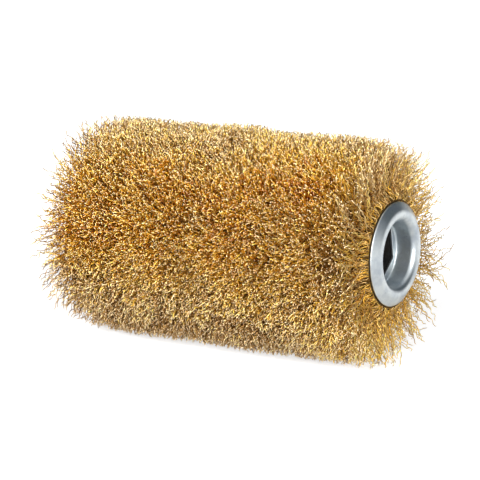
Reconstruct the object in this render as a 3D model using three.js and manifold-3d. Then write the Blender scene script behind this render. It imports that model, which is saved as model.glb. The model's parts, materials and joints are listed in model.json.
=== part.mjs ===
// Wire drum brush: a wide roller of crimped brass-coated wire for a hexagonal drive shaft.
// Four brush rings sit side by side on a steel tube. In each ring the wires are folded round a hoop and
// gripped between two pressed plates. A pressed flange at each end closes the stack. It is dished back from
// a rolled lip, which runs into a cup whose floor has the hexagonal hole, and a thick drive plate behind the
// floor takes the load.
// Millimetres. The drum's axis is X, +Z is up, and the origin is the centre of the drum.

import * as THREE from "three";
import { mergeVertices } from "three/addons/utils/BufferGeometryUtils.js";
import Module from "manifold-3d";

const wasm = await Module();
wasm.setup();

// ---------------------------------------------------------------- driving dimensions

const DRUM_LENGTH = 207; // over the crests of the two rolled lips
const BRUSH_DIAMETER = 127; // over the trimmed tips of the wires
const RING_COUNT = 4;
const FIT_GAP = 0.3; // between pieces that are pressed or clamped together

const SHAFT_FLATS = 28.6; // across the flats of the hexagonal hole
const HEX_TURN = THREE.MathUtils.degToRad(10.5); // of the hexagon about the axis, from corners up

const CORNER_ROOM = 1.6; // from the hexagon's corners to the cup's wall
const CUP_DEPTH = 12.5; // from the crest of the lip to the floor
const CUP_SHEET = 1.5;
const LIP_RADIUS = 3.8; // of the rolled lip, on the side that shows
const LIP_LAND = 0.8; // width of the flat crest of the lip
const FLANGE_RING = 6.3; // width of the flange outside that crest, square to the axis
const FLANGE_SLOPE = 34; // how far the flange is dished back, in degrees
const FLOOR_FILLET = 1.2; // inside, between the cup's wall and its floor
const RIM_CHAMFER = 0.4; // on the flange's outer edge

const DRIVE_PLATE = 4; // thickness
const TUBE_WALL = 1.5;
const SPACER_WALL = 3;
const SPACER_LENGTH = 2.5; // between two brush rings

const PLATE_SHEET = 0.8;
const PLATE_RISE = 5.7; // from the plates' hub lips to their rims
const RIM_TURN_IN = 1.6; // how far a plate's rim leans in to pinch the wires
const HOOP_WIRE = 2.4; // diameter
const FOLD = 1.2; // thickness of the folded wires under the hoop
const SLIT_WIDTH = 0.8; // parting between the two legs of the folded wires
const MASS_HEIGHT = 4.6; // of the packed wires above the rims of the plates
const MASS_FLARE = 2.4; // how far they spread past the neck on each side
const MASS_CROWN = 0.8; // how much lower their outer edges are

const LEG_ROWS = 2; // rows of strands on each leg of the folded wires
const FACE_MARGIN = 2.6; // from the outer rows' tips to the end of the ring's share of the drum
const STRAND_ROOT = 3; // diameter of a strand, which stands for a lock of wires
const STRAND_TIP = 1.6;
const STRAND_SEGMENTS = 3;
const STRAND_SIDES = 3;
const ROOT_MARGIN = 0.2; // least, from a root to the edge of its share of the crown
const CRIMP = 1.3; // half the wave of a strand
const TRIM_SCATTER = 0.9; // how unevenly the tips are trimmed
const REST_FLAT = 0.5; // depth of the flat that the drum's weight presses into the lowest tips
const FIRST_SEED = 40;

const HUB_SIDES = 48; // facets of the round pieces that show
const RING_SIDES = 19; // facets of the brush rings, each with a strand of every row
const HOOP_SIDES = 6;
const LIP_STEPS = 4; // from the cup's wall to the crest
const SLOPE_STEPS = 2; // from the crest to the flange's slope

// ---------------------------------------------------------------- sizes that follow

const hexCorner = SHAFT_FLATS / Math.sqrt(3);
const cupRadius = hexCorner + CORNER_ROOM;
const cupOuter = cupRadius + CUP_SHEET;
const tubeInner = cupOuter + FIT_GAP;
const tubeOuter = tubeInner + TUBE_WALL;
const lipRadius = cupRadius + LIP_RADIUS; // where the lip's flat crest starts
const crestRadius = lipRadius + LIP_LAND; // where it ends
const flangeRadius = crestRadius + FLANGE_RING;
const crestFace = DRUM_LENGTH / 2;
const slope = THREE.MathUtils.degToRad(FLANGE_SLOPE);
const slopeWidth = FLANGE_RING - LIP_RADIUS * Math.sin(slope); // of the flange's straight part
const rimFace = crestFace - LIP_RADIUS * (1 - Math.cos(slope)) - slopeWidth * Math.tan(slope);
const [flangeBack, flangeBackRadius] = atRim(0, CUP_SHEET); // the edge that bears on the stack
const hubInner = outside(tubeOuter, RING_SIDES); // bore of what slides onto the tube
const hubOuter = hubInner + PLATE_SHEET;
const coreRadius = hubOuter + PLATE_RISE;
const stackLength = 2 * (flangeBack - FIT_GAP);
const ringPitch = stackLength / RING_COUNT;
const endSpacerLength = SPACER_LENGTH / 2; // so that the rings share the length evenly
const halfCore = (ringPitch - SPACER_LENGTH) / 2 - FIT_GAP; // half a ring's width over its plates
const massRadius = coreRadius + MASS_HEIGHT;
const tipRadius = BRUSH_DIAMETER / 2;
const restAngle = Math.PI / RING_SIDES; // to either side of straight down, where no tip is cut short

// The radius of a faceted bore whose flats clear a round piece of this radius.
function outside(radius, sides) {
  return (radius + FIT_GAP) / Math.cos(Math.PI / sides);
}

// A point near the right-hand flange's outer edge, as [along the axis, radius]: this far in along the
// flange's slope and this far behind the side that shows.
function atRim(inward, behind) {
  return [
    rimFace + inward * Math.sin(slope) - behind * Math.cos(slope),
    flangeRadius - inward * Math.cos(slope) - behind * Math.sin(slope),
  ];
}

// ---------------------------------------------------------------- solids and shapes

// A ring or disc about the X axis from a closed outline of [along the axis, radius] points.
function revolve(outline, sides) {
  const points = outline.map(([along, radius]) => new THREE.Vector2(radius, along));
  if (THREE.ShapeUtils.area(points) < 0) points.reverse();
  points.push(points[0].clone());
  return new THREE.LatheGeometry(points, sides).rotateZ(-Math.PI / 2);
}

// Points on a round corner, from one angle to the other, as [along the axis, radius].
function arc(along, radius, size, from, to, steps) {
  return Array.from({ length: steps + 1 }, (_, i) => {
    const angle = THREE.MathUtils.degToRad(from + ((to - from) * i) / steps);
    return [along + size * Math.cos(angle), radius + size * Math.sin(angle)];
  });
}

// An outline drawn for the right-hand side, for the side it is wanted on: 1 for right, -1 for left.
function mirror(outline, side) {
  return outline.map(([along, radius]) => [side * along, radius]);
}

function toSolid(geometry) {
  const bare = geometry.clone();
  bare.deleteAttribute("normal");
  bare.deleteAttribute("uv");
  const merged = mergeVertices(bare, 1e-4);
  const vertProperties = new Float32Array(merged.attributes.position.array);
  const triVerts = new Uint32Array(merged.index.array);
  return new wasm.Manifold(new wasm.Mesh({ numProp: 3, vertProperties, triVerts }));
}

function toGeometry(solid) {
  const { vertProperties, triVerts } = solid.getMesh();
  const geometry = new THREE.BufferGeometry();
  geometry.setAttribute("position", new THREE.BufferAttribute(vertProperties, 3));
  geometry.setIndex(new THREE.BufferAttribute(triVerts, 1));
  geometry.computeVertexNormals();
  return geometry;
}

// Repeatable numbers from 0 to 1, so that every build scatters the strands alike.
function scatterFrom(seed) {
  let state = seed;
  return () => {
    state = (state * 1664525 + 1013904223) % 4294967296;
    return state / 4294967296;
  };
}

// ---------------------------------------------------------------- materials

const zincPlate = new THREE.MeshStandardMaterial({ color: 0xb4bcc0, metalness: 0.9, roughness: 0.34 });
const bareSteel = new THREE.MeshStandardMaterial({ color: 0x6d6f70, metalness: 0.9, roughness: 0.5 });
const hoopSteel = new THREE.MeshStandardMaterial({ color: 0x8a8b8a, metalness: 0.9, roughness: 0.4 });
const brassWire = new THREE.MeshStandardMaterial({ color: 0xc29447, metalness: 0.85, roughness: 0.38 });

const drum = new THREE.Group();

function addPiece(parent, name, geometry, material) {
  const mesh = new THREE.Mesh(geometry, material);
  mesh.name = name;
  parent.add(mesh);
  return mesh;
}

// ---------------------------------------------------------------- hub

function makeTube() {
  const end = crestFace - CUP_SHEET - 2 * FIT_GAP;
  // The tube ends inside the lip's bend, so its mouth is chamfered to clear the bend.
  const mouth = crestFace - LIP_RADIUS - FIT_GAP;
  const right = [
    [mouth, tubeInner],
    [end, tubeOuter],
  ];
  return revolve([...right, ...mirror(right, -1).reverse()], HUB_SIDES);
}

// A piece with the shaft's hexagonal hole cut through it along the drum's axis.
function withHexagon(geometry) {
  const bar = new THREE.CylinderGeometry(hexCorner, hexCorner, 2 * DRUM_LENGTH, 6);
  bar.rotateZ(-Math.PI / 2).rotateX(HEX_TURN);
  return toGeometry(toSolid(geometry).subtract(toSolid(bar)));
}

// The dished flange, its rolled lip and its cup in one sheet. side is 1 for the right end, -1 for the left.
function makeEndCup(side) {
  const lip = crestFace - LIP_RADIUS;
  const floor = crestFace - CUP_DEPTH;
  const fillet = floor + FLOOR_FILLET;
  const filletRadius = cupRadius - FLOOR_FILLET;
  const outline = [
    atRim(RIM_CHAMFER, 0),
    ...arc(lip, crestRadius, LIP_RADIUS, FLANGE_SLOPE, 0, SLOPE_STEPS),
    ...arc(lip, lipRadius, LIP_RADIUS, 0, -90, LIP_STEPS),
    ...arc(fillet, filletRadius, FLOOR_FILLET, 90, 180, 1),
    [floor, 0],
    [floor - CUP_SHEET, 0],
    ...arc(fillet, filletRadius, FLOOR_FILLET + CUP_SHEET, 180, 90, 2),
    ...arc(lip, lipRadius, LIP_RADIUS - CUP_SHEET, -90, 0, LIP_STEPS),
    ...arc(lip, crestRadius, LIP_RADIUS - CUP_SHEET, 0, FLANGE_SLOPE, SLOPE_STEPS),
    atRim(0, CUP_SHEET),
    atRim(0, RIM_CHAMFER),
  ];
  return withHexagon(revolve(mirror(outline, side), HUB_SIDES));
}

// A thick plate with the same hexagon, pressed into the tube behind the cup's floor.
function makeDrivePlate(side) {
  const front = crestFace - CUP_DEPTH - CUP_SHEET - FIT_GAP;
  const radius = tubeInner - FIT_GAP;
  const outline = [
    [front, 0],
    [front, radius],
    [front - DRIVE_PLATE, radius],
    [front - DRIVE_PLATE, 0],
  ];
  return withHexagon(revolve(mirror(outline, side), HUB_SIDES));
}

// A ring that slides onto the tube.
function makeSpacer(length, radius) {
  const half = length / 2;
  const outline = [
    [-half, hubInner],
    [half, hubInner],
    [half, radius],
    [-half, radius],
  ];
  return revolve(outline, RING_SIDES);
}

addPiece(drum, "core_tube", makeTube(), bareSteel);
for (const [word, side] of [["left", -1], ["right", 1]]) {
  addPiece(drum, `end_cup_${word}`, makeEndCup(side), zincPlate);
  addPiece(drum, `drive_plate_${word}`, makeDrivePlate(side), bareSteel);
  // The flange's back edge bears on the rim of the end spacer.
  const washer = makeSpacer(endSpacerLength, flangeBackRadius);
  const spacer = addPiece(drum, `end_spacer_${word}`, washer, bareSteel);
  spacer.position.x = (side * (stackLength - endSpacerLength)) / 2;
}
for (let i = 1; i < RING_COUNT; i++) {
  const ring = makeSpacer(SPACER_LENGTH, hubInner + SPACER_WALL);
  const spacer = addPiece(drum, `spacer_${i}_${i + 1}`, ring, bareSteel);
  spacer.position.x = -stackLength / 2 + i * ringPitch;
}

// ---------------------------------------------------------------- brush rings

// One of the two pressed plates of a ring: a hub lip on the tube, a wall, and a rim that leans in.
function makePlate(side) {
  const shoulder = coreRadius - 1.5 * RIM_TURN_IN;
  const outline = [
    [FIT_GAP / 2, hubInner],
    [halfCore, hubInner],
    [halfCore, shoulder],
    [halfCore - RIM_TURN_IN, coreRadius],
    [halfCore - RIM_TURN_IN - PLATE_SHEET, coreRadius - PLATE_SHEET / 2],
    [halfCore - PLATE_SHEET, shoulder - PLATE_SHEET / 2],
    [halfCore - PLATE_SHEET, hubOuter],
    [FIT_GAP / 2, hubOuter],
  ];
  return revolve(mirror(outline, side), RING_SIDES);
}

const hoopCentre = hubOuter + 2 * FIT_GAP + FOLD + HOOP_WIRE / 2;

// The hoop that the wires are folded round.
function makeHoop() {
  return new THREE.TorusGeometry(hoopCentre, HOOP_WIRE / 2, HOOP_SIDES, RING_SIDES).rotateY(-Math.PI / 2);
}

// The packed wires in section, left leg first: up over its crown, down to the fold under the hoop, and
// back over the right leg's crown. The strands grow from the lines that start at the crowns' points.
function packedOutline() {
  const waist = halfCore - PLATE_SHEET - FIT_GAP;
  const neck = waist - RIM_TURN_IN;
  const pocket = HOOP_WIRE / 2 + 2 * FIT_GAP;
  const foldTop = hoopCentre - HOOP_WIRE / 2 - FIT_GAP;
  const rightLeg = [
    [SLIT_WIDTH / 2, massRadius],
    [neck + MASS_FLARE, massRadius - MASS_CROWN],
    [neck, coreRadius - PLATE_SHEET / 2],
    [waist, hubOuter + FIT_GAP],
  ];
  const leftLeg = mirror(rightLeg, -1).reverse();
  const fold = [
    [-pocket, foldTop],
    [pocket, foldTop],
  ];
  const crowns = [leftLeg.length - 2, leftLeg.length + fold.length];
  return { points: [...leftLeg, ...fold, ...rightLeg], crowns };
}

// Collects points and outward faces, counted from 0.
class Skin {
  positions = [];
  faces = [];

  point(vector) {
    this.positions.push(vector.x, vector.y, vector.z);
    return this.positions.length / 3 - 1;
  }

  // Four corners in turn, anticlockwise from outside.
  quad(a, b, c, d) {
    this.faces.push(a, b, c, a, c, d);
  }

  geometry() {
    const geometry = new THREE.BufferGeometry();
    geometry.setAttribute("position", new THREE.Float32BufferAttribute(this.positions, 3));
    return geometry.setIndex(this.faces);
  }
}

// The corners of a strand's section, anticlockwise about its length.
function strandSection(centre, across, around, radius, roll) {
  return Array.from({ length: STRAND_SIDES }, (_, i) => {
    const angle = roll + (2 * Math.PI * i) / STRAND_SIDES;
    const point = centre.clone().addScaledVector(across, radius * Math.cos(angle));
    return point.addScaledVector(around, radius * Math.sin(angle));
  });
}

// A crimped strand that rises from its root section to its trimmed tip, bending this way and that.
function growStrand(skin, rootIds, root, tipAlong, tipReach, roll, crimpAngle) {
  const outward = new THREE.Vector3(0, root.y, root.z).normalize();
  const tip = outward.clone().multiplyScalar(tipReach).setX(tipAlong);
  const axis = tip.clone().sub(root).normalize();
  const across = new THREE.Vector3(1, 0, 0).addScaledVector(axis, -axis.x).normalize();
  const around = new THREE.Vector3().crossVectors(axis, across);
  let below = rootIds;
  for (let i = 1; i <= STRAND_SEGMENTS; i++) {
    const share = i / STRAND_SEGMENTS;
    const wave = i === STRAND_SEGMENTS ? 0 : CRIMP * (i % 2 ? 1 : -1);
    const centre = root.clone().lerp(tip, share);
    centre.addScaledVector(across, wave * Math.cos(crimpAngle));
    centre.addScaledVector(around, wave * Math.sin(crimpAngle));
    const radius = THREE.MathUtils.lerp(STRAND_ROOT, STRAND_TIP, share) / 2;
    const section = strandSection(centre, across, around, radius, roll);
    const above = section.map((point) => skin.point(point));
    below.forEach((id, k) => {
      const next = (k + 1) % STRAND_SIDES;
      skin.quad(id, below[next], above[next], above[k]);
    });
    below = above;
  }
  for (let k = 1; k < STRAND_SIDES - 1; k++) skin.faces.push(below[0], below[k], below[k + 1]);
}

// One flat face of a crown with the strands that grow from it. corners run anticlockwise from outside,
// the first side along the drum.
function growFace(skin, corners, rowTips, staggerSign, random) {
  const [a, b, c, d] = corners.map((id) => new THREE.Vector3().fromArray(skin.positions, 3 * id));
  const along = b.clone().sub(a).normalize();
  const around = d.clone().sub(a).addScaledVector(along, -d.clone().sub(a).dot(along)).normalize();
  const flatten = (point) => {
    const fromCorner = point.clone().sub(a);
    return new THREE.Vector2(fromCorner.dot(along), fromCorner.dot(around));
  };
  const middle = new THREE.Vector3().add(a).add(b).add(c).add(d).divideScalar(4);
  // Each root has a plot of its own and lies anywhere in it, the plots staggered from row to row.
  const plotLength = a.distanceTo(b) / rowTips.length;
  const plotWidth = Math.min(a.distanceTo(d), b.distanceTo(c)) / 2;
  const scatterAlong = plotLength - STRAND_ROOT - 2 * ROOT_MARGIN;
  const scatterAround = plotWidth - STRAND_ROOT - 2 * ROOT_MARGIN;
  const ids = [...corners];
  const holes = rowTips.map((tipAlong, row) => {
    const place = (row + 0.5 - rowTips.length / 2) * plotLength;
    const stagger = (staggerSign * (row % 2 ? 1 : -1) * plotWidth) / 2;
    const root = middle.clone().addScaledVector(along, place + scatterAlong * (random() - 0.5));
    root.addScaledVector(around, stagger + scatterAround * (random() - 0.5));
    const roll = 2 * Math.PI * random();
    const section = strandSection(root, along, around, STRAND_ROOT / 2, roll);
    const rootIds = section.map((point) => skin.point(point));
    ids.push(...rootIds);
    const overFloor = -root.z > Math.hypot(root.y, root.z) * Math.cos(restAngle);
    const trim = overFloor ? 0 : TRIM_SCATTER * random();
    growStrand(skin, rootIds, root, tipAlong, tipRadius - trim, roll, Math.PI * random());
    return section.map(flatten);
  });
  const contour = [a, b, c, d].map(flatten);
  for (const face of THREE.ShapeUtils.triangulateShape(contour, holes)) {
    skin.faces.push(...face.map((i) => ids[i]));
  }
}

// The wires of one ring. The rows of strands fan out from the ring's middle to share the drum's length.
function makeWireFill(ring) {
  const random = scatterFrom(FIRST_SEED + ring);
  const skin = new Skin();
  const { points, crowns } = packedOutline();
  for (let column = 0; column < RING_SIDES; column++) {
    const turn = (2 * Math.PI * column) / RING_SIDES;
    for (const [along, radius] of points) {
      skin.point(new THREE.Vector3(along, radius * Math.sin(turn), radius * Math.cos(turn)));
    }
  }
  const rowPitch = (ringPitch - 2 * FACE_MARGIN) / (2 * LEG_ROWS - 1);
  const firstTip = FACE_MARGIN - ringPitch / 2;
  for (let column = 0; column < RING_SIDES; column++) {
    const here = column * points.length;
    const beyond = ((column + 1) % RING_SIDES) * points.length;
    points.forEach((_, i) => {
      const next = (i + 1) % points.length;
      const corners = [here + i, here + next, beyond + next, beyond + i];
      const leg = crowns.indexOf(i);
      if (leg < 0) {
        skin.quad(...corners);
        return;
      }
      const rows = Array.from({ length: LEG_ROWS }, (_, row) => leg * LEG_ROWS + row);
      const rowTips = rows.map((row) => firstTip + row * rowPitch);
      growFace(skin, corners, rowTips, ring % 2 ? 1 : -1, random);
    });
  }
  const floor = new THREE.BoxGeometry(2 * ringPitch, BRUSH_DIAMETER, BRUSH_DIAMETER);
  floor.translate(0, 0, REST_FLAT - BRUSH_DIAMETER);
  return toGeometry(toSolid(skin.geometry()).subtract(toSolid(floor)));
}

for (let ring = 1; ring <= RING_COUNT; ring++) {
  const group = new THREE.Group();
  group.position.x = -stackLength / 2 + (ring - 0.5) * ringPitch;
  addPiece(group, `ring_${ring}_plate_left`, makePlate(-1), bareSteel);
  addPiece(group, `ring_${ring}_plate_right`, makePlate(1), bareSteel);
  addPiece(group, `ring_${ring}_hoop`, makeHoop(), hoopSteel);
  addPiece(group, `ring_${ring}_wire_fill`, makeWireFill(ring), brassWire);
  drum.add(group);
}

export default drum;
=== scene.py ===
"""Wire drum brush: a wide roller of crimped, brass-coated steel wire for a hexagonal drive shaft.

Everything is in metres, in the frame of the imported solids: the drum's axis is X, +Z is up and the origin
is the drum's centre. Sizes are written in millimetres and turned to metres where a mesh is made.
"""

from __future__ import annotations

import json
import logging
import math
from collections.abc import Callable
from dataclasses import dataclass
from enum import Enum
from functools import partial
from typing import Any

import bpy
import numpy as np
from bpy.types import Material, Node, NodeSocket, NodeTree, Object
from mathutils import Matrix, Vector

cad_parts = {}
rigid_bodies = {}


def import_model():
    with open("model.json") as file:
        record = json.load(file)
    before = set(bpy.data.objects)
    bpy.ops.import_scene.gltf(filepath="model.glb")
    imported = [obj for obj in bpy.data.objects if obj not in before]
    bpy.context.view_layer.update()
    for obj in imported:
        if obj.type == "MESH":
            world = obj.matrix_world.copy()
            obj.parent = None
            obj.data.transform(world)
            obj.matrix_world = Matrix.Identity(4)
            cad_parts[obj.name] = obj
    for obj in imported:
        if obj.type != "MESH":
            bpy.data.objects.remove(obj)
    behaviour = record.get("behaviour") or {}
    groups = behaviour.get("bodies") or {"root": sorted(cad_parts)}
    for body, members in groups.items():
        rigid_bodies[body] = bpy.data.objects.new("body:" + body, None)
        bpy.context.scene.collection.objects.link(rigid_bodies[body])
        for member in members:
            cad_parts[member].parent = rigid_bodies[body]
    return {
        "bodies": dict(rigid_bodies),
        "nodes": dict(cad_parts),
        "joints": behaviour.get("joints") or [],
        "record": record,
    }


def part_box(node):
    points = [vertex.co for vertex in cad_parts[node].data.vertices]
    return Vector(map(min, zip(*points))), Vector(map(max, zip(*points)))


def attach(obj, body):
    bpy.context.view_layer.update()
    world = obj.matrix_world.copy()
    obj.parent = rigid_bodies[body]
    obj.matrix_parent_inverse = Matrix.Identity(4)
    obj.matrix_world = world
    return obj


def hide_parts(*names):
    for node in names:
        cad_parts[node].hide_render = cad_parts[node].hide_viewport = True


LOG = logging.getLogger("wire_drum_brush")

MM = 0.001  # metres in a millimetre
BODY = "root"
RINGS = 4  # brush rings side by side
SEED = 33  # of what the whole drum shares
RING_SEED = 700  # of each ring, with its number added
WIRE_MAP = "OFBake"  # the wires' own map: tone across, root to tip upwards
NOISE_SPAN = {"From Min": 0.3, "From Max": 0.7}  # a noise texture's value seldom leaves these

Array = np.ndarray
Pair = tuple[float, float]
Colour = tuple[float, float, float, float]
Stops = tuple[tuple[float, str], ...]  # places on a colour ramp and their sRGB hex colours
AddNode = Callable[..., Node]


# ---------------- helpers


def srgb(code: str) -> Colour:
    """Turn an sRGB hex colour, written #RRGGBB, to linear red, green, blue and alpha."""
    parts = [int(code[i : i + 2], 16) / 255 for i in (1, 3, 5)]
    return (*(c / 12.92 if c <= 0.04045 else ((c + 0.055) / 1.055) ** 2.4 for c in parts), 1.0)


def add_node(
    tree: NodeTree,
    kind: str,
    inputs: dict[str | int, Any] | None = None,
    stops: Stops = (),
    **settings: Any,
) -> Node:
    """Add a node with its settings and links.

    Args:
        tree: The node tree that gets it.
        kind: Blender's name for the kind of node, after "ShaderNode".
        inputs: For each input, a plain value, an sRGB hex colour, the output socket that feeds it, or the
            node whose first output in use does.
        stops: Places and colours, for a node with a colour ramp.
        **settings: Properties of the node itself.

    Returns:
        The new node.
    """
    node = tree.nodes.new("ShaderNode" + kind)
    for name, value in settings.items():
        setattr(node, name, value)
    for key, value in (inputs or {}).items():
        if isinstance(value, Node):
            value = next(socket for socket in value.outputs if socket.enabled)
        if isinstance(value, NodeSocket):
            tree.links.new(value, node.inputs[key])
        else:
            node.inputs[key].default_value = srgb(value) if isinstance(value, str) else value
    if stops:
        ramp_stops = node.color_ramp.elements
        while len(ramp_stops) < len(stops):
            ramp_stops.new(0.5)
        for element, (position, code) in zip(ramp_stops, stops, strict=True):
            element.position = position
            element.color = srgb(code)
    return node


def new_material(name: str) -> tuple[Material, AddNode]:
    """Make an empty node material.

    Args:
        name: The material's name.

    Returns:
        The material, and add_node() for its tree.
    """
    material = bpy.data.materials.new(name)
    material.use_nodes = True
    material.node_tree.nodes.clear()
    return material, partial(add_node, material.node_tree)


def drum_places(add: AddNode) -> tuple[NodeSocket, Node, Node, Node]:
    """Add the nodes that tell where on the drum a point lies.

    Args:
        add: What adds a node.

    Returns:
        The point, its three parts, its part across the drum's axis, and that part's length: the radius.
    """
    place = add("TexCoord").outputs["Object"]
    part = add("SeparateXYZ", {0: place})
    across = add("CombineXYZ", {"Y": part.outputs["Y"], "Z": part.outputs["Z"]})
    return place, part, across, add("VectorMath", {0: across}, operation="LENGTH")


def plain_rays(add: AddNode) -> tuple[Node, Node]:
    """Add the nodes that tell sight from light.

    Args:
        add: What adds a node.

    Returns:
        The kinds of ray, and 1 for what is seen, also in metal and through glass, or 0 for what lights.
    """
    path = add("LightPath")
    seen = path.outputs["Is Camera Ray"]
    for ray in ("Is Glossy Ray", "Is Transmission Ray"):
        seen = add("Math", {0: seen, 1: path.outputs[ray]}, operation="MAXIMUM")
    return path, seen


def ramp(value: Array, start: float, length: float) -> Array:
    """Rise from 0 to 1 along a stretch, from where it starts and over its length."""
    return ((value - start) / length).clip(0, 1)


# ---------------- finishes


@dataclass(frozen=True)
class ZincPlate:
    """Bright zinc on a pressed steel sheet.

    The plating is a cool light grey metal with soft, wide reflections. It shows cloudy patches from the
    bath, faint drawing lines round the pressing, and small dull scuffs.
    """

    body: str = "#C4CACB"
    cloud: str = "#A9B1B8"
    scuff: str = "#7F8992"
    roughness: float = 0.3
    cloud_dulls: float = 0.08  # how much rougher the patches are
    scuff_dulls: float = 0.2
    wall_dulls: float = 0.11  # and the cup's drawn wall
    cloud_mm: float = 9.0  # size of the bath's cloudy patches
    line_mm: float = 0.5  # drawing lines, really about 0.1 mm apart, drawn this coarse so that they show
    scuff_mm: float = 2.2
    mouth_mm: float = 19.5  # radius where the lip turns into the cup
    relief_mm: float = 0.05

    def material(self) -> Material:
        """Build the material.

        Returns:
            The finished material.
        """
        material, add = new_material("zinc_plated_steel_pressed")
        place, part, _, radius = drum_places(add)
        ring = add("CombineXYZ", {"X": radius, "Y": part.outputs["X"]})
        lines = add("TexNoise", {"Vector": ring, "Scale": 1 / (self.line_mm * MM), "Detail": 2.0})
        clouds, scuffs = (
            add("TexNoise", {"Vector": place, "Scale": 1 / (size * MM), "Detail": detail, "Roughness": fine})
            for size, detail, fine in ((self.cloud_mm, 3.0, 0.6), (self.scuff_mm, 5.0, 0.7))
        )
        cloudy = add("MapRange", {"Value": clouds, "From Min": 0.4, "From Max": 0.65})
        scuffed = add("MapRange", {"Value": scuffs, "From Min": 0.6, "From Max": 0.72, "To Max": 0.7})
        base = add("Mix", {"Factor": cloudy, "A": self.body, "B": self.cloud}, data_type="RGBA")
        worn = add("Mix", {"Factor": scuffed, "A": base, "B": self.scuff}, data_type="RGBA")
        dull = add("Math", {0: scuffed, 1: self.scuff_dulls, 2: self.roughness}, operation="MULTIPLY_ADD")
        uneven = add("Math", {0: cloudy, 1: self.cloud_dulls, 2: dull}, operation="MULTIPLY_ADD")
        mouth = {"From Min": self.mouth_mm * MM, "From Max": (self.mouth_mm - 1) * MM}
        wall = add("MapRange", {"Value": radius, **mouth, "To Max": self.wall_dulls})
        rough = add("Math", {0: uneven, 1: wall}, operation="ADD")
        relief = add("Math", {0: lines, 1: scuffs}, operation="ADD")
        bump = add("Bump", {"Strength": 0.25, "Distance": self.relief_mm * MM, "Height": relief})
        metal = {"Base Color": worn, "Metallic": 1.0, "Roughness": rough, "Normal": bump}
        add("OutputMaterial", {"Surface": add("BsdfPrincipled", metal)})
        return material


@dataclass(frozen=True)
class MildSteel:
    """Bare mild steel, cold rolled or drawn and lightly oiled.

    It is a darker, browner grey than the plating, with a mottled bloom of oil and the first rust.
    """

    name: str
    body: str = "#77797A"
    bloom: str = "#55504A"
    roughness: Pair = (0.34, 0.56)  # bare, and under the bloom
    bloom_mm: float = 6.0  # size of the oily patches
    grain_mm: float = 0.6  # rolling grain, drawn this coarse so that it shows
    relief_mm: float = 0.04

    def material(self) -> Material:
        """Build the material.

        Returns:
            The finished material.
        """
        material, add = new_material(self.name)
        place = add("TexCoord").outputs["Object"]
        bloom, grain = (
            add("TexNoise", {"Vector": place, "Scale": 1 / (size * MM), "Detail": detail})
            for size, detail in ((self.bloom_mm, 4.0), (self.grain_mm, 3.0))
        )
        colour = add("ValToRGB", {"Fac": bloom}, ((0.38, self.body), (0.7, self.bloom)))
        bare, bloomed = self.roughness
        rough = add("MapRange", {"Value": bloom, **NOISE_SPAN, "To Min": bare, "To Max": bloomed})
        bump = add("Bump", {"Strength": 0.3, "Distance": self.relief_mm * MM, "Height": grain})
        metal = {"Base Color": colour, "Metallic": 1.0, "Roughness": rough, "Normal": bump}
        add("OutputMaterial", {"Surface": add("BsdfPrincipled", metal)})
        return material


@dataclass(frozen=True)
class CrimpedBrassWire:
    """Hard steel wire with a thin drawn coat of brass, crimped after drawing.

    Each wire glints gold where it is clean. From one wire to the next the coat runs from dull brown, over
    tan, pale and orange gold, to oiled brown; the dull brown underneath is painted shade. It is stained along
    its length, darker towards the root, partly from tarnish and partly as painted shade deep among the wires,
    and bares steel at the cut tip.
    """

    tones: Stops = (
        (0.04, "#B48C54"),  # dull brown, mostly painted shade on the underside
        (0.22, "#FFE4B0"),  # tan
        (0.4, "#FFDC82"),  # pale gold
        (0.62, "#FFD25A"),  # gold
        (0.8, "#FCC248"),  # orange gold
        (0.88, "#F6B884"),  # coppery
        (1.0, "#A4661E"),  # oiled
    )
    # Darker towards the root: partly tarnish, partly painted shade deep among the wires.
    lengthwise: Stops = ((0.0, "#EADEC4"), (0.5, "#FFF6E4"), (0.8, "#FFFFFF"))  # root to tip
    cut: str = "#FFE9C4"
    cut_height: Pair = (0.96, 0.985)  # where the cut tip starts to show, and shows fully
    stains: Pair = (0.7, 1.26)  # what they leave of the colour, and the cleanest spots
    stain_cells: Pair = (48.0, 8.0)  # across the tones, and from root to tip
    roughness: Pair = (0.47, 0.29)  # stained and clean

    def material(self) -> Material:
        """Build the material.

        Returns:
            The finished material.
        """
        material, add = new_material("steel_wire_brass_coated_crimped")
        place = add("UVMap", uv_map=WIRE_MAP)
        part = add("SeparateXYZ", {0: place})
        across, height = part.outputs["X"], part.outputs["Y"]
        tone = add("ValToRGB", {"Fac": across}, self.tones)
        # Painted shade deep among the wires, with some tarnish, darkens the colour towards the root.
        root_darkening = add("ValToRGB", {"Fac": height}, self.lengthwise)
        darkened_to_root = add("Mix", {"Factor": 1.0, "A": tone, "B": root_darkening}, data_type="RGBA", blend_type="MULTIPLY")
        spots = add("VectorMath", {0: place, 1: (*self.stain_cells, 1.0)}, operation="MULTIPLY")
        stains = add("TexNoise", {"Vector": spots, "Scale": 1.0, "Detail": 1.0})
        stained, rough = (
            add("MapRange", {"Value": stains, **NOISE_SPAN, "To Min": low, "To Max": high})
            for low, high in (self.stains, self.roughness)
        )
        colour = add("VectorMath", {0: darkened_to_root, "Scale": stained}, operation="SCALE")
        shows, full = self.cut_height
        tip = add("MapRange", {"Value": height, "From Min": shows, "From Max": full})
        trimmed = add("Mix", {"Factor": tip, "A": colour, "B": self.cut}, data_type="RGBA")
        metal = {"Base Color": trimmed, "Metallic": 1.0, "Roughness": rough}
        add("OutputMaterial", {"Surface": add("BsdfPrincipled", metal)})
        return material


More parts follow.
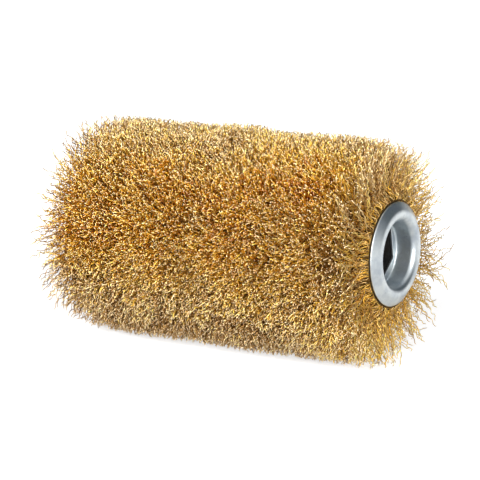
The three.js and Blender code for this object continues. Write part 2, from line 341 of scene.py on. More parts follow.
@dataclass(frozen=True)
class PackedBrassWire:
    """The same wire where it is packed tight: only ends and crimps show, with painted shade between its
    bundles, deepening towards the core.
    """

    light: str = "#CC9C4A"
    # The darker colour of the bundles' pattern is painted shade in the gaps between them.
    between_shade: str = "#6C4E24"
    shade: float = 0.36  # how much of its colour the painted shade leaves where it is deepest
    deep_mm: float = 31.0
    open_mm: float = 49.0
    roughness: Pair = (0.7, 0.55)  # between the bundles, and on them
    metallic: float = 0.9
    bundle_mm: float = 1.3  # a few wires together
    middle_mm: float = 40.0  # radius at which the bundles have that size
    stretch: float = 0.2  # of the pattern's pace outwards
    relief_mm: float = 0.5

    def material(self) -> Material:
        """Build the material.

        Returns:
            The finished material.
        """
        material, add = new_material("steel_wire_brass_coated_packed")
        _, part, across, radius = drum_places(add)
        # Taken on a drum of one size, the streaks run outwards.
        ring = add("VectorMath", {0: across}, operation="NORMALIZE")
        even = add("VectorMath", {0: ring, "Scale": self.middle_mm * MM}, operation="SCALE")
        along = add("Math", {0: radius, 1: self.stretch, 2: part.outputs["X"]}, operation="MULTIPLY_ADD")
        streaks = add("VectorMath", {0: even, 1: add("CombineXYZ", {"X": along})}, operation="ADD")
        bundles = add("TexNoise", {"Vector": streaks, "Scale": 1 / (self.bundle_mm * MM), "Detail": 2.0})
        colour = add("ValToRGB", {"Fac": bundles}, ((0.36, self.between_shade), (0.66, self.light)))
        # Painted shade: darker towards the core.
        depths = {"From Min": self.deep_mm * MM, "From Max": self.open_mm * MM}
        depth = add("MapRange", {"Value": radius, **depths, "To Min": self.shade})
        shaded = add("VectorMath", {0: colour, "Scale": depth}, operation="SCALE")
        between, on_them = self.roughness
        rough = add("MapRange", {"Value": bundles, **NOISE_SPAN, "To Min": between, "To Max": on_them})
        bump = add("Bump", {"Strength": 0.8, "Distance": self.relief_mm * MM, "Height": bundles})
        metal = {"Base Color": shaded, "Metallic": self.metallic, "Roughness": rough, "Normal": bump}
        add("OutputMaterial", {"Surface": add("BsdfPrincipled", metal)})
        return material


@dataclass(frozen=True)
class PaleSweep:
    """The studio's matt white sweep. Its own glow, for sight and reflections only, lifts it to white."""

    paint: str = "#B8B8B8"
    paler: str = "#BEBEBE"
    patches: float = 12.0  # of the paint, in a metre
    glow: float = 0.63  # by the object
    far_glow: float = 1.0
    near_mm: float = 120.0
    far_mm: float = 500.0

    def material(self) -> Material:
        """Build the material.

        Returns:
            The finished material.
        """
        material, add = new_material("pale_floor_matt")
        place = add("TexCoord").outputs["Object"]
        mottle = add("TexNoise", {"Vector": place, "Scale": self.patches})
        colour = add("ValToRGB", {"Fac": mottle}, ((0.3, self.paint), (0.7, self.paler)))
        matt = add("BsdfDiffuse", {"Color": colour, "Roughness": 1.0})
        _, seen = plain_rays(add)
        away = add("VectorMath", {0: place}, operation="LENGTH")
        lengths = {"From Min": self.near_mm * MM, "From Max": self.far_mm * MM}
        glows = {"To Min": self.glow, "To Max": self.far_glow}
        glow = add("MapRange", {"Value": away, **lengths, **glows}, interpolation_type="SMOOTHSTEP")
        strength = add("Math", {0: seen, 1: glow}, operation="MULTIPLY")
        light = add("Emission", {"Strength": strength})
        add("OutputMaterial", {"Surface": add("AddShader", {0: matt, 1: light})})
        return material


# ---------------- shapes


@dataclass
class Shape:
    """A mesh in the making: corners in millimetres, faces in groups of one size, and an optional map."""

    corners: Array
    faces: list[Array]
    places: Array | None = None  # one pair for each corner of each face, in the order of the faces

    def piece(self, name: str, material: Material, smooth: bool = True) -> Object:
        """Make the Blender object, which rides on the drum's body.

        Args:
            name: The piece's name.
            material: What it is made of.
            smooth: Whether its faces are shaded smooth.

        Returns:
            The new object.
        """
        mesh = bpy.data.meshes.new(name)
        sizes = np.concatenate([np.full(len(f), f.shape[1], np.int32) for f in self.faces])
        index = np.concatenate([f.ravel() for f in self.faces]).astype(np.int32)
        mesh.vertices.add(len(self.corners))
        mesh.vertices.foreach_set("co", (self.corners * MM).astype(np.float32).ravel())
        mesh.loops.add(len(index))
        mesh.loops.foreach_set("vertex_index", index)
        mesh.polygons.add(len(sizes))
        starts = np.concatenate([[0], np.cumsum(sizes)[:-1]]).astype(np.int32)
        mesh.polygons.foreach_set("loop_start", starts)
        mesh.polygons.foreach_set("use_smooth", np.full(len(sizes), smooth))
        if self.places is not None:
            layer = mesh.uv_layers.new(name=WIRE_MAP, do_init=False)
            layer.uv.foreach_set("vector", self.places.astype(np.float32).ravel())
        mesh.update(calc_edges=True)
        mesh.validate()
        mesh.materials.append(material)
        piece = bpy.data.objects.new(name, mesh)
        bpy.context.scene.collection.objects.link(piece)
        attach(piece, BODY)
        LOG.info("%s: %d corners, %d faces", name, len(self.corners), len(sizes))
        return piece


def circle(steps: int) -> Array:
    """Angles at even steps all round, in radians."""
    return np.arange(steps) * 2 * np.pi / steps


def on_drum(along: Array | float, radius: Array, angle: Array) -> Array:
    """Points from their places along the drum's axis, their radii and their angles."""
    return np.stack(np.broadcast_arrays(along, radius * np.cos(angle), radius * np.sin(angle)), -1)


def grid_faces(rows: int, columns: int, wrap_rows: bool, wrap_columns: bool) -> Array:
    """Four-cornered faces over a grid of corners.

    Args:
        rows: Number of rows.
        columns: Number of corners in a row.
        wrap_rows: Whether the last row meets the first.
        wrap_columns: Whether each row's end meets its start.

    Returns:
        One row of four corner numbers for each face.
    """
    row = np.arange(rows if wrap_rows else rows - 1)[:, None]
    column = np.arange(columns if wrap_columns else columns - 1)[None, :]
    next_row, next_column = (row + 1) % rows, (column + 1) % columns
    corners = [row, row, next_row, next_row], [column, next_column, next_column, column]
    return np.stack([(r * columns + c) for r, c in zip(*corners, strict=True)], -1).reshape(-1, 4)


# ---------------- wires


class Quarter(Enum):
    """A quarter of a brush ring, by where it lies on the drum. The value is its first angle."""

    BACK_TOP = 0
    FRONT_TOP = 90
    FRONT_BOTTOM = 180
    BACK_BOTTOM = 270


@dataclass(frozen=True)
class CrimpedWire:
    """One wire's size and its crimp, in millimetres."""

    radius: float = 0.25
    sides: int = 3
    step: float = 1.1  # between the points of its path
    crimp_points: int = 4  # points of the path to each crimp, which is then 4.4 long
    crimp_height: float = 0.78  # from the wire's middle line
    crimp_spread: Pair = (0.7, 1.3)  # and what that is multiplied by
    crimp_across: float = 0.35  # how far it leaves its plane, as a share of its height
    crimp_start: float = 0.02  # as a share of the wire's length
    lie_together: float = 0.6  # how far neighbours turn their crimps' planes alike, in radians
    lie_alone: float = 1.2


@dataclass(frozen=True)
class WireField:
    """Where the wires of the drum stand, in millimetres. A ramp is where it starts and how long it is."""

    root_radius: float = 28.8
    hidden_radius: float = 48.5  # the wires of the middle start here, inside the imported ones
    tip_radius: float = 65.1
    floor: float = -63.0
    density: float = 0.54  # wires on a square millimetre, at the tips
    thin_ramp: Pair = (74.0, 24.0)  # the wires stand thinner towards the drum's ends
    thinnest: float = 0.2  # as a share of the density
    thin_top: float = 0.5  # how much thinner than that they stand on top and underneath
    top_power: int = 4  # and how soon that stops away from there
    thin_side: float = 0.45  # how much thinner behind at the right end, and in front at the left one
    lean: float = 4.8  # how far a root and its tip are out of line
    stray_share: float = 0.08  # of the wires, which lean further
    stray_lean: float = 1.6  # how many times as far
    swirl: float = 4.0  # how far neighbours lean round together
    swirl_span: float = 2.0  # how far apart that is measured
    bend: float = 1.5
    bend_ramp: Pair = (75.0, 15.0)  # to twice that, towards the drum's ends
    foot_bend: float = 1.8
    foot_height: float = 0.25  # how high up that bend ends, as a share of their length
    firm_ramp: Pair = (60.0, 20.0)  # the roots lie in line, towards the drum's ends
    trim: float = 3.0  # how unevenly the tips are trimmed
    short_share: float = 0.42  # of the wires, which are cut shorter still
    short_by: Pair = (1.5, 7.0)
    patch_trim: Pair = (1.1, 2.5)  # how much shorter whole patches are, and at most how often
    tuft_trim: Pair = (0.4, 3.0)  # and tufts
    longest_trim: float = 11.0
    shoulder: float = 88.0  # the tips beyond this length are worn round
    wear: float = 0.007
    soft_end: float = 99.0  # wires that would reach beyond this length bend back
    end_room: float = 9.0
    flange_back: float = 98.8  # the wires' feet stay behind the flange
    flange_clear: float = 0.5  # and come forward this much for each millimetre outwards
    belly: float = 6.0  # how far the outermost wires bulge behind the flange
    belly_height: float = 0.035  # how high up they do, as a share of their length


@dataclass(frozen=True)
class Tones:
    """What sets a wire's tone: its place, its neighbours and chance. Lengths are in millimetres."""

    middle: float = 0.5
    together: float = 0.09  # how far neighbours' tones vary alike
    alone: float = 0.18
    pale: float = 0.2  # at the right end
    pale_ramp: Pair = (50.0, 35.0)
    grey: float = 0.2  # at the left end
    grey_ramp: Pair = (80.0, 20.0)
    dust: float = 0.28  # on top
    dust_ramp: Pair = (0.7, 0.3)  # by the sine of the angle
    under_shade: float = 0.55  # painted shade underneath
    coppery_patch: float = 0.38  # in the middle of a more coppery patch on the upper front
    coppery_patch_place: Pair = (70.0, math.radians(125))  # along and round the drum
    coppery_patch_size: Pair = (19.0, math.radians(26))
    ends: Pair = (0.01, 0.99)

    def at(self, along: Array, angle: Array, together: Array, alone: Array) -> Array:
        """The tones of some wires.

        Args:
            along: Where they end, along the axis.
            angle: Their angles.
            together: What neighbours share, as a standard normal number.
            alone: What is their own, as another one.

        Returns:
            The tones, from dull brown at 0, which underneath is painted shade, to oiled at 1.
        """
        tone = self.middle + self.together * together + self.alone * alone
        right, left = ramp(along, *self.pale_ramp), ramp(-along, *self.grey_ramp)
        up = np.sin(angle)
        # Painted shade underneath: there the tone falls towards the dull brown.
        dust, under_shade = self.dust * ramp(up, *self.dust_ramp), self.under_shade * (-up).clip(0, 1)
        tone -= self.pale * right + dust * (1 - right / 2) + under_shade * (1 - right) + self.grey * left
        away = ((along - self.coppery_patch_place[0]) / self.coppery_patch_size[0]) ** 2
        away += ((angle - self.coppery_patch_place[1]) / self.coppery_patch_size[1]) ** 2
        tone += self.coppery_patch * np.exp(-away)
        return tone.clip(*self.ends)


@dataclass(frozen=True)
class RingShape:
    """How a ring holds its wires, and its packed wires. In millimetres: along from its middle, and radii."""

    neck: float = 20.4  # half the width from which the wires spread
    end_depth: float = 10.0  # how deep the wires show down to the plate at a free end of the drum
    spread_left: float = 1.4  # how the wires spread towards the drum's left end
    spread_right: float = 1.5
    rim_depth: float = 0.8  # the wires this near the plate are crowded over its rim
    rim_crowd: float = 11.0  # how many times as many there are
    rim_scatter: float = 34.0  # how far inwards their tips stray
    crown: float = 49.5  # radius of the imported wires' top
    crown_step: float = 1.25
    slit: float = 0.5  # half its width, between the legs of the folded wires
    gap: float = 0.15  # half of it, between neighbouring rings
    flank_foot: Pair = (-0.6, 31.6)  # along from the neck
    flank_shares: tuple[float, float, int] = (0.12, 1.0, 9)  # of the way down to it, and how many points
    flank_power: float = 1.6
    foot: tuple[Pair, ...] = ((-0.3, 28.4), (1.2, 24.3))  # along from the neck, in the plate
    spill: tuple[Pair, ...] = (  # over the plate's rim, at a free end
        *((1.2, 31.8), (2.8, 31.3), (4.0, 30.7), (4.9, 30.0)),
        *((5.2, 29.4), (4.95, 28.85), (4.3, 28.55)),
    )
    fold: tuple[Pair, ...] = ((0.4, 31.5), (-0.4, 31.5), (-1.7, 25.3), (1.7, 25.3))
    steps: int = 228  # round the axis
    ragged: float = 1.2
    ragged_ramp: Pair = (29.5, 5.0)


class Unevenness:
    """A smooth random surface round the drum, for what neighbouring wires share."""

    def __init__(self, rng: np.random.Generator, cell: float, length: float, radius: float) -> None:
        """Draw the random heights.

        Args:
            rng: The random numbers.
            cell: Distance between the heights, in millimetres.
            length: How long a stretch of the drum they cover, in millimetres.
            radius: The radius at which the cells have that size.
        """
        self.cell = cell
        self.half = length / 2
        self.around = max(4, round(2 * math.pi * radius / cell))
        self.values = rng.standard_normal((math.ceil(length / cell) + 3, self.around))

    def at(self, along: Array, angle: Array) -> Array:
        """Read the surface.

        Args:
            along: Places along the axis, in millimetres.
            angle: Angles about the axis.

        Returns:
            The heights there, about as large as a standard normal number.
        """
        x = (along + self.half) / self.cell + 1
        y = (angle / (2 * np.pi)) % 1 * self.around
        row = np.clip(np.floor(x).astype(int), 0, len(self.values) - 2)
        column = np.floor(y).astype(int) % self.around
        fx, fy = np.clip(x - row, 0, 1), y - np.floor(y)
        fx, fy = fx * fx * (3 - 2 * fx), fy * fy * (3 - 2 * fy)
        after = (column + 1) % self.around
        low = self.values[row, column] * (1 - fy) + self.values[row, after] * fy
        high = self.values[row + 1, column] * (1 - fy) + self.values[row + 1, after] * fy
        return low * (1 - fx) + high * fx


@dataclass(frozen=True)
class WireMap:
    """How wires lie on their map, in shares of it: tone across it in columns, root to tip up it."""

    columns: int = 40
    margin: float = 0.1  # of a column, on both its sides
    edge: float = 0.01  # above and below the wires
    cap: float = 0.012  # how high the wires' ends are

    def places(self, tone: Array, length: int, sides: int) -> Array:
        """Lay three-sided wires out on the map.

        Args:
            tone: Each wire's tone.
            length: Points in a wire's path.
            sides: Sides of a wire.

        Returns:
            A pair for each corner of each face: all sides, then all roots, then all tips.
        """
        width = (1 - 2 * self.margin) / self.columns
        left = (np.floor(tone * self.columns) + self.margin) / self.columns
        row = np.repeat(np.arange(length - 1), sides)
        side = np.tile(np.arange(sides), length - 1)
        up = np.stack([row, row, row + 1, row + 1], -1) / (length - 1)
        over = np.stack([side, side + 1, side + 1, side], -1) / sides * width
        tube = np.empty((len(tone), len(row), 4, 2))
        tube[..., 0] = left[:, None, None] + over[None]
        tube[..., 1] = self.edge + (1 - 2 * self.edge) * up[None]
        caps = np.empty((2, len(tone), sides, 2))
        caps[..., 0] = left[None, :, None] + np.array([0.0, width, width / 2])
        caps[0, ..., 1] = self.edge + np.array([0.0, 0.0, self.cap])
        caps[1, ..., 1] = 1 - self.edge - np.array([self.cap, self.cap, 0.0])
        return np.concatenate([tube.reshape(-1, 2), caps.reshape(-1, 2)])


@dataclass
class Roots:
    """Where wires leave the core: along the axis and round it, with where each would end if it stood true."""

    along: Array
    angle: Array
    end: Array
    start_radius: float


class BrushRing:
    """One ring of wires gripped between two plates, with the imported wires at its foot."""

    def __init__(self, number: int, where: WireField, shared: dict[str, Unevenness]) -> None:
        """Take the ring's place from its hoop.

        Args:
            number: 1 to 4, from the left.
            where: How the wires stand.
            shared: The drum's uneven surfaces, by name.
        """
        self.number = number
        middle = [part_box(f"ring_{n}_hoop") for n in (1, 2, number)]
        centres = [(low.x + high.x) / 2 / MM for low, high in middle]
        self.pitch = centres[1] - centres[0]
        self.centre = centres[2]
        self.shape = RingShape()
        self.wire = CrimpedWire()
        self.tones = Tones()
        self.where = where
        self.shared = shared
        self.rng = np.random.default_rng(RING_SEED + number)
        self.node = f"ring_{number}_wire_fill"
        self.outward = {1: -1, RINGS: 1}.get(number, 0)  # the side on which the drum ends, or 0
        self.fan = self.pitch / 2 / self.shape.neck  # how the wires spread

    def build(self, wire_finish: Material, packed_finish: Material) -> None:
        """Build every piece of the ring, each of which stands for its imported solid.

        Args:
            wire_finish: For the free wires.
            packed_finish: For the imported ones.
        """
        name, neck, inside = f"ring_{self.number}", self.shape.neck, self.shape.neck - self.shape.end_depth
        middle = (-inside if self.outward < 0 else -neck, inside if self.outward > 0 else neck)
        pieces = [self.packed().piece(f"{name}_packed_wires", packed_finish, smooth=False)]
        for quarter in Quarter:
            word = quarter.name.lower()
            wires = self.wires(self.draw(quarter, *middle, self.where.hidden_radius))
            pieces.append(wires.piece(f"{name}_wires_{word}", wire_finish))
            if self.outward:
                wires = self.wires(self.end_roots(quarter))
                pieces.append(wires.piece(f"{name}_end_wires_{word}", wire_finish))
        for piece in pieces:
            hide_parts(self.node)

    def spread(self, along: Array) -> Array:
        """Where wires with these roots end if they stand true, both from the ring's centre."""
        outer = {-1: self.shape.spread_left, 1: self.shape.spread_right}.get(self.outward, self.fan)
        return np.where(along * self.outward > 0, along * outer, along * self.fan)

    def draw(self, quarter: Quarter, low: float, high: float, radius: float, crowd: float = 1.0) -> Roots:
        """Scatter roots over part of the ring, as many as the density at the tips asks for.

        Args:
            quarter: Which quarter of the ring.
            low: First place along the axis, from the ring's centre.
            high: Last one.
            radius: Where the drawn part of the wires starts.
            crowd: How many times as many wires there are as the density asks for.

        Returns:
            The roots.
        """
        first, span, where = math.radians(quarter.value), math.pi / 2, self.where
        count = round(crowd * where.density * self.fan * (high - low) * where.tip_radius * span)
        columns = max(1, round(math.sqrt(count * (high - low) / (span * where.root_radius))))
        rows = math.ceil(count / columns)
        cell = np.arange(rows * columns)
        x = low + (high - low) * ((cell % columns) + self.rng.random(len(cell))) / columns
        angle = first + span * ((cell // columns) + self.rng.random(len(cell))) / rows
        tip = self.spread(x) + self.centre
        thinnest = where.thinnest * (1 - where.thin_top * np.sin(angle) ** where.top_power)
        thinnest *= 1 - where.thin_side * self.outward * np.cos(angle)
        kept = self.rng.random(len(x)) < 1 - (1 - thinnest) * ramp(np.abs(tip), *where.thin_ramp)
        return Roots(x[kept] + self.centre, angle[kept], tip[kept], radius)

    def end_roots(self, quarter: Quarter) -> Roots:
        """The roots next to the drum's free end, whose wires show down to the plate.

        Args:
            quarter: Which quarter.

        Returns:
            The roots.
        """
        shape = self.shape
        inside, rim = shape.neck - shape.end_depth, shape.neck - shape.rim_depth
        parts = []
        for low, high, crowd in ((inside, rim, 1.0), (rim, shape.neck, shape.rim_crowd)):
            if self.outward < 0:
                low, high = -high, -low
            parts.append(self.draw(quarter, low, high, self.where.root_radius, crowd))
        # Those at the rim go round it and then stand in any place of the fringe.
        parts[1].end -= self.outward * self.rng.uniform(0, shape.rim_scatter, len(parts[1].end))
        along, angle, end = (
            np.concatenate([getattr(part, name) for part in parts]) for name in ("along", "angle", "end")
        )
        return Roots(along, angle, end, self.where.root_radius)

    def reaches(self, roots: Roots) -> Array:
        """How far from the axis each wire ends.

        Args:
            roots: Where the wires start and would end.

        Returns:
            The radii, in millimetres.
        """
        where = self.where
        trim = np.abs(self.rng.standard_normal(len(roots.along))) * where.trim
        short = self.rng.random(len(roots.along)) < where.short_share
        trim += short * self.rng.uniform(*where.short_by, len(roots.along))
        for name, (by, most) in (("patch", where.patch_trim), ("trim", where.tuft_trim)):
            trim += by * (1 + self.shared[name].at(roots.end, roots.angle)).clip(0, most)
        beyond = (np.abs(roots.end) - where.shoulder).clip(0)
        return where.tip_radius - trim.clip(0, where.longest_trim) - where.wear * beyond**2

    def leans(self, roots: Roots, height: Array) -> list[Array]:
        """How far the wires' middle lines stray from standing true.

        Args:
            roots: Where they start and would end.
            height: How high up each point is, as a share of the wires' full length.

        Returns:
            How far along the axis, and round it.
        """
        rng, where, whirl = self.rng, self.where, self.shared["whirl"]
        tip, angle = roots.end, roots.angle
        count, end = len(tip), np.abs(tip)
        # Neighbours lean round together as in a whirl, so that they don't bunch.
        shift, turn = where.swirl_span, where.swirl_span / where.tip_radius
        swirl = [
            where.swirl * (whirl.at(tip, angle + turn) - whirl.at(tip, angle - turn)),
            where.swirl * (whirl.at(tip - shift, angle) - whirl.at(tip + shift, angle)),
        ]
        stray = np.where(rng.random(count) < where.stray_share, where.stray_lean, 1.0)
        lean = rng.standard_normal((2, count)) * where.lean * stray
        bend = rng.standard_normal((2, count)) * where.bend * (1 + ramp(end, *where.bend_ramp))
        foot = rng.standard_normal((2, count)) * where.foot_bend
        # The tips lie where they were scattered and the roots are off, except along a free end's plate.
        loose = 1 - ramp(end, *where.firm_ramp)
        out = []
        for k, share in enumerate((loose, np.ones(count))):
            arch = bend[k][:, None] * 4 * height * (1 - height)
            arch += foot[k][:, None] * np.sin(np.pi * (height / where.foot_height).clip(0, 1))
            out.append(swirl[k][:, None] * height**2 + lean[k][:, None] * (height**2 - share[:, None]) + arch)
        return out

    def crimps(self, roots: Roots, height: Array) -> tuple[Array, Array]:
        """How far the wires' crimps stray from their middle lines.

        Args:
            roots: Where the wires start and would end.
            height: How high up each point is, as a share of the wires' full length.

        Returns:
            How far along the axis, and round it.
        """
        rng, wire = self.rng, self.wire
        count, length = height.shape
        turn = rng.uniform(0, 2 * np.pi, count)[:, None] + np.arange(length) * (2 * np.pi / wire.crimp_points)
        together, alone = self.shared["lie"].at(roots.end, roots.angle), rng.standard_normal(count)
        plane = (wire.lie_together * together + wire.lie_alone * alone)[:, None]
        size = wire.crimp_height * rng.uniform(*wire.crimp_spread, count)[:, None]
        size = size * (height / wire.crimp_start).clip(0, 1)
        wave, cross = np.sin(turn) * size, np.cos(turn / 2) * size * wire.crimp_across
        return wave * np.cos(plane) - cross * np.sin(plane), wave * np.sin(plane) + cross * np.cos(plane)

    def paths(self, roots: Roots) -> Array:
        """Work out the wires' centre lines.

        Args:
            roots: Where they start and would end.

        Returns:
            The points in millimetres, one row of points for each wire.
        """
        where = self.where
        reach = self.reaches(roots)
        steps = round((np.median(reach) - roots.start_radius) / self.wire.step)
        part = np.linspace(0, 1, steps + 1)[None, :]
        radius = roots.start_radius + (reach - roots.start_radius)[:, None] * part
        height = (radius - where.root_radius) / (where.tip_radius - where.root_radius)
        lean, crimp = self.leans(roots, height), self.crimps(roots, height)
        # The outermost wires first bulge along the back of the flange, then stand up.
        from_plate = (self.shape.neck - np.abs(roots.along - self.centre))[:, None]
        outermost = (1 - from_plate / self.shape.end_depth).clip(0) if self.outward else 0.0
        risen = height / where.belly_height
        belly = where.belly * outermost * risen * np.exp(1 - risen)
        x = roots.along[:, None] * (1 - height) + roots.end[:, None] * height + lean[0]
        x = x + crimp[0] + self.outward * belly
        angle = roots.angle[:, None] + (lean[1] + crimp[1]) / radius
        beyond = (np.abs(x) - where.soft_end).clip(0)
        x -= np.sign(x) * (beyond - where.end_room * np.tanh(beyond / where.end_room))
        behind = where.flange_back + where.flange_clear * (radius - where.root_radius)
        x = x.clip(-behind, behind)
        return on_drum(x, radius, angle)

    def wires(self, roots: Roots) -> Shape:
        """Sweep three-sided wires along their centre lines.

        Args:
            roots: Where they start.

        Returns:
            The shape, with its map.
        """
        points = self.paths(roots)
        count, length = points.shape[:2]
        together, alone = self.shared["tone"].at(roots.end, roots.angle), self.rng.standard_normal(count)
        tone = self.tones.at(roots.end, roots.angle, together, alone)
        sides = self.wire.sides
        run = np.gradient(points, axis=1)
        run /= np.linalg.norm(run, axis=2, keepdims=True)
        first = np.cross(run, np.array([1.0, 0.0, 0.0]))
        first /= np.linalg.norm(first, axis=2, keepdims=True)
        second = np.cross(run, first)
        twist = self.rng.uniform(0, 2 * np.pi, count)[:, None, None]
        skin = np.empty((count, length, sides, 3))
        for k in range(sides):
            angle = twist + 2 * np.pi * k / sides
            skin[:, :, k] = points + self.wire.radius * (np.cos(angle) * first + np.sin(angle) * second)
        skin[..., 2] = np.maximum(skin[..., 2], self.where.floor)
        base = (np.arange(count) * length * sides)[:, None, None]
        faces = (base + grid_faces(length, sides, False, True)[None]).reshape(-1, 4)
        cap = np.arange(sides)
        start = (base[:, 0] + cap[::-1][None]).reshape(-1, sides)
        end = (base[:, 0] + (length - 1) * sides + cap[None]).reshape(-1, sides)
        return Shape(skin.reshape(-1, 3), [faces, start, end], WireMap().places(tone, length, sides))

    def packed(self) -> Shape:
        """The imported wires: from the fold under the hoop, out between the plates, to a ragged crown.

        Returns:
            The shape, closed round the slit between its two legs.
        """
        shape = self.shape
        edge = dict.fromkeys((-1, 1), self.pitch / 2 - shape.gap)
        if self.outward:
            edge[self.outward] = shape.neck - shape.end_depth
        foot_along, foot_radius = shape.neck + shape.flank_foot[0], shape.flank_foot[1]
        legs = []
        for side in (1, -1):
            count = round((edge[side] - shape.slit) / shape.crown_step)
            leg = [(x, shape.crown) for x in np.linspace(shape.slit, edge[side], count)]
            for t in np.linspace(*shape.flank_shares):
                x = edge[side] + (foot_along - edge[side]) * t**shape.flank_power
                leg.append((x, shape.crown - (shape.crown - foot_radius) * t))
            foot = shape.spill + shape.foot if side == self.outward else shape.foot
            leg += [(shape.neck + along, radius) for along, radius in foot]
            legs.append([(side * x, radius) for x, radius in leg])
        outline = np.array([shape.fold[0], *legs[0], *legs[1][::-1], *shape.fold[1:]])
        corners = on_drum(outline[:, 0], outline[:, 1], circle(shape.steps)[:, None])
        faces = grid_faces(shape.steps, len(outline), True, True)
        radius = np.hypot(corners[..., 1], corners[..., 2])
        ragged = ramp(radius, *shape.ragged_ramp) * self.rng.normal(0, shape.ragged, radius.shape)
        corners[..., 1:] *= ((radius + ragged) / radius)[..., None]
        corners[..., 0] += self.centre
        return Shape(corners.reshape(-1, 3), [faces[:, ::-1]])


# ---------------- end cups


@dataclass(frozen=True)
class EndCup:
    """A pressed end: dished flange, rolled lip, cup and a floor with the hexagonal hole. In millimetres."""

    side: int
    crest: float = 103.5  # of the lip, from the drum's centre
    cup_radius: float = 18.11
    lip_radius: float = 3.8
    land: float = 0.8
    flange_ring: float = 6.3
    slope: float = math.radians(34)
    depth: float = 12.5
    fillet: float = 1.2
    sheet: float = 1.5
    rim: float = 0.7
    flats: float = 28.6
    hole_edge: tuple[Pair, ...] = ((0.35, 0.0), (0.1, 0.08), (0.0, 0.3))  # down, and outwards
    first_corner: float = math.radians(40.5)
    steps: int = 240

    def outline(self) -> Array:
        """The section outside the hexagon, from the floor's inner edge over lip and flange to its back.

        Returns:
            Points as [along the axis, radius].
        """
        bend = self.crest - self.lip_radius
        inner, outer = self.cup_radius + self.lip_radius, self.cup_radius + self.lip_radius + self.land
        floor = self.crest - self.depth + self.fillet
        corner = self.cup_radius - self.fillet
        back = self.lip_radius - self.sheet
        flange_radius = outer + self.flange_ring
        out = np.array([-math.sin(self.slope), math.cos(self.slope)])  # along the slope
        square = np.array([math.cos(self.slope), math.sin(self.slope)])  # off its face
        start = np.array([bend, outer]) + self.lip_radius * square
        edge = start + out * (flange_radius - start[1]) / out[1]
        slope = math.degrees(self.slope)
        rim = edge - self.rim * (out + square)
        # The last number of each arc is how many steps it takes.
        points = [
            *self.arc((floor, corner), self.fillet, 180, 90, 8),
            *self.arc((bend, inner), self.lip_radius, -90, 0, 16),
            *self.arc((bend, outer), self.lip_radius, 0, slope, 6),
            *(start + (rim + self.rim * square - start) * k / 4 for k in range(1, 4)),
            *self.arc(tuple(rim), self.rim, slope, slope + 90, 4),
            edge - self.sheet * square,
            *self.arc((bend, outer), back, slope, 0, 4),
            *self.arc((bend, inner), back, 0, -90, 8),
            *self.arc((floor, corner), self.fillet + self.sheet, 90, 180, 6),
        ]
        return np.array(points)

    @staticmethod
    def arc(centre: Pair, radius: float, first: float, last: float, steps: int) -> Array:
        """Points on a round corner of the section, from one angle to another in degrees."""
        angle = np.radians(np.linspace(first, last, steps + 1))
        return np.stack([centre[0] + radius * np.cos(angle), centre[1] + radius * np.sin(angle)], -1)

    def hexagon(self, angle: Array, inset: float) -> Array:
        """The hexagonal hole's radius at each angle, or that of one wider by an inset on each side."""
        turned = (angle - self.first_corner) % (math.pi / 3) - math.pi / 6
        return (self.flats / 2 + inset) / np.cos(turned)

    def build(self, finish: Material) -> None:
        """Build the cup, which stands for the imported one.

        Args:
            finish: Its zinc plate.
        """
        section = self.outline()
        angle = self.first_corner + circle(self.steps)
        hole = [
            on_drum(self.crest - self.depth - down, self.hexagon(angle, inset), angle)
            for down, inset in ((self.sheet, 0.0), *self.hole_edge)
        ]
        corners = on_drum(section[:, 0], section[:, 1], angle[:, None])
        corners = np.concatenate([np.stack(hole, 1), corners], 1)
        corners[..., 0] *= self.side
        faces = grid_faces(self.steps, corners.shape[1], True, True)
        if self.side > 0:
            faces = faces[:, ::-1]
        word = "right" if self.side > 0 else "left"
        piece = Shape(corners.reshape(-1, 3), [faces]).piece(f"end_cup_{word}_pressing", finish)
        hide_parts(f"end_cup_{word}")


# ---------------- studio


@dataclass(frozen=True)
class Softbox:
    """A square lamp: where it stands, how wide it is and how bright, in metres and watts."""

    name: str
    place: tuple[float, float, float]
    width: float
    power: float

    def build(self) -> None:
        """Make the lamp, aimed at the drum."""
        data = bpy.data.lights.new(self.name, "AREA")
        data.shape = "SQUARE"
        data.size = self.width
        data.energy = self.power
        lamp = bpy.data.objects.new(self.name, data)
        lamp.location = self.place
        lamp.rotation_mode = "QUATERNION"
        lamp.rotation_quaternion = (-Vector(self.place)).to_track_quat("-Z", "Y")
        bpy.context.scene.collection.objects.link(lamp)


@dataclass(frozen=True)
class Camera:
    """The photograph's view: angles in degrees, distance in metres, lengths on the picture in pixels."""

    azimuth: float = 31.8
    elevation: float = 11.06
    distance: float = 1.146
    focal: float = 2015.0
    picture: float = 480.0
    centre: Pair = (238.8, 235.65)  # where the drum's centre falls
    sensor: float = 36.0
    clip: Pair = (0.05, 50.0)

    def build(self) -> None:
        """Make the camera and hand it to the scene."""
        a, e = math.radians(self.azimuth), math.radians(self.elevation)
        back = Vector((math.sin(a) * math.cos(e), -math.cos(a) * math.cos(e), math.sin(e)))
        right = Vector((math.cos(a), math.sin(a), 0.0))
        up = back.cross(right)
        scale = self.distance / self.focal
        middle = self.picture / 2
        data = bpy.data.cameras.new("camera")
        data.sensor_width = self.sensor
        data.lens = self.focal / self.picture * self.sensor
        data.clip_start, data.clip_end = self.clip
        camera = bpy.data.objects.new("camera", data)
        turn = Matrix((right, up, back)).transposed().to_4x4()
        place = back * self.distance
        place -= right * (self.centre[0] - middle) * scale
        place += up * (self.centre[1] - middle) * scale
        camera.matrix_world = Matrix.Translation(place) @ turn
        bpy.context.scene.collection.objects.link(camera)
        bpy.context.scene.camera = camera


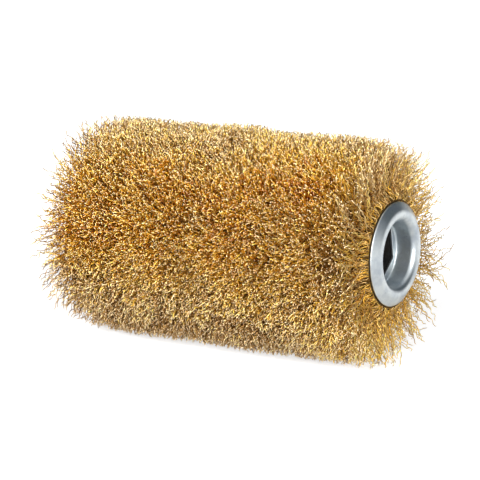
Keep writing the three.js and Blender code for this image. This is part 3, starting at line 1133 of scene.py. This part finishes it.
@dataclass(frozen=True)
class Studio:
    """Plain soft light over a pale floor."""

    floor: float = -0.0632
    floor_rings: tuple[float, ...] = (60.0, 200.0, 700.0, 3000.0)  # radii, in millimetres
    floor_steps: int = 96
    ambient: float = 0.12
    ceiling: str = "#505C64"
    # How much of it there is by height.
    ceiling_stops: Stops = ((0.1, "#000000"), (0.3, "#FFFFFF"), (0.75, "#FFFFFF"), (0.95, "#000000"))
    ceiling_back: Pair = (-0.2, 0.2)  # how far back it starts, and is whole
    lamps: tuple[Softbox, ...] = (
        Softbox("key_softbox", (-0.4, -1.05, 0.68), 0.5, 16.0),
        Softbox("front_softbox", (1.0, -1.1, 0.45), 1.0, 23.0),
        Softbox("top_softbox", (-0.1, 0.1, 1.5), 1.0, 1.0),
    )

    def build(self) -> None:
        """Make the world, the lamps and the floor."""
        scene = bpy.context.scene
        scene.view_settings.view_transform = "Standard"
        world = bpy.data.worlds.new("studio")
        scene.world = world
        world.use_nodes = True
        world.node_tree.nodes.clear()
        add = partial(add_node, world.node_tree)
        path, seen = plain_rays(add)
        strength = add("MapRange", {"Value": seen, "To Min": self.ambient, "To Max": 1.0})
        # Seen in the metal, the room is white with a dim blue-grey ceiling behind the drum.
        part = add("SeparateXYZ", {0: add("TexCoord").outputs["Generated"]})
        high = add("ValToRGB", {"Fac": part.outputs["Z"]}, self.ceiling_stops)
        starts, whole = self.ceiling_back
        back = add("MapRange", {"Value": part.outputs["Y"], "From Min": starts, "From Max": whole})
        dim = add("Math", {0: high, 1: back}, operation="MULTIPLY")
        mirrored = add("Mix", {"Factor": dim, "A": "#FFFFFF", "B": self.ceiling}, data_type="RGBA")
        in_metal = path.outputs["Is Glossy Ray"]
        colour = add("Mix", {"Factor": in_metal, "A": "#FFFFFF", "B": mirrored}, data_type="RGBA")
        add("OutputWorld", {"Surface": add("Background", {"Color": colour, "Strength": strength})})
        for lamp in self.lamps:
            lamp.build()
        self.sweep()

    def sweep(self) -> None:
        """Make the floor, a wide round sheet that starts at the drum's lowest tips."""
        rings, steps = np.array(self.floor_rings), self.floor_steps
        corners = np.roll(on_drum(self.floor / MM, rings, circle(steps)[:, None]), -1, axis=2)
        corners = np.concatenate([corners.reshape(-1, 3), [[0.0, 0.0, self.floor / MM]]])
        sheet = grid_faces(steps, len(rings), True, False)[:, ::-1]
        first = np.arange(steps) * len(rings)
        middle = np.stack([np.full(steps, len(corners) - 1), first, np.roll(first, -1)], -1)
        mesh = bpy.data.meshes.new("pale_floor")
        mesh.from_pydata((corners * MM).tolist(), [], sheet.tolist() + middle.tolist())
        mesh.materials.append(PaleSweep().material())
        floor = bpy.data.objects.new("pale_floor", mesh)
        bpy.context.scene.collection.objects.link(floor)


# ---------------- assembly


class DrumBrush:
    """The whole brush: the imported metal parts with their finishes, and the pieces built here."""

    # The cells of the uneven surfaces that neighbouring wires share, in millimetres.
    cells = {"whirl": 18.0, "patch": 27.0, "trim": 5.0, "lie": 9.0, "tone": 14.0}

    def __init__(self, frame: dict[str, Any]) -> None:
        """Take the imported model.
        """
        self.nodes: dict[str, Object] = frame["nodes"]
        self.where = where = WireField()
        rng = np.random.default_rng(SEED)
        length = 2 * (where.soft_end + where.end_room)
        self.shared = {
            name: Unevenness(rng, cell, length, where.tip_radius) for name, cell in self.cells.items()
        }

    def build(self) -> None:
        """Build and dress everything."""
        wire = CrimpedBrassWire().material()
        packed = PackedBrassWire().material()
        for number in range(1, RINGS + 1):
            BrushRing(number, self.where, self.shared).build(wire, packed)
        zinc = ZincPlate().material()
        for side in (-1, 1):
            EndCup(side).build(zinc)
        self.dress()

    def dress(self) -> None:
        """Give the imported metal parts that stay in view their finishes."""
        steel = MildSteel("mild_steel_cold_rolled").material()
        drawn = MildSteel("steel_wire_drawn", body="#8E8F8E", bloom="#6A6661", bloom_mm=4.0).material()
        for name, node in self.nodes.items():
            if node.hide_render:
                continue
            node.data.materials.clear()
            node.data.materials.append(drawn if name.endswith("hoop") else steel)
            LOG.info("dressed %s", name)


def main() -> None:
    """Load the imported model, build the brush round it and set the studio."""
    logging.basicConfig(level=logging.INFO, format="%(message)s")
    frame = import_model()
    bpy.context.view_layer.update()
    Camera().build()
    DrumBrush(frame).build()
    Studio().build()
    bpy.context.view_layer.update()


if __name__ == "__main__":
    main()
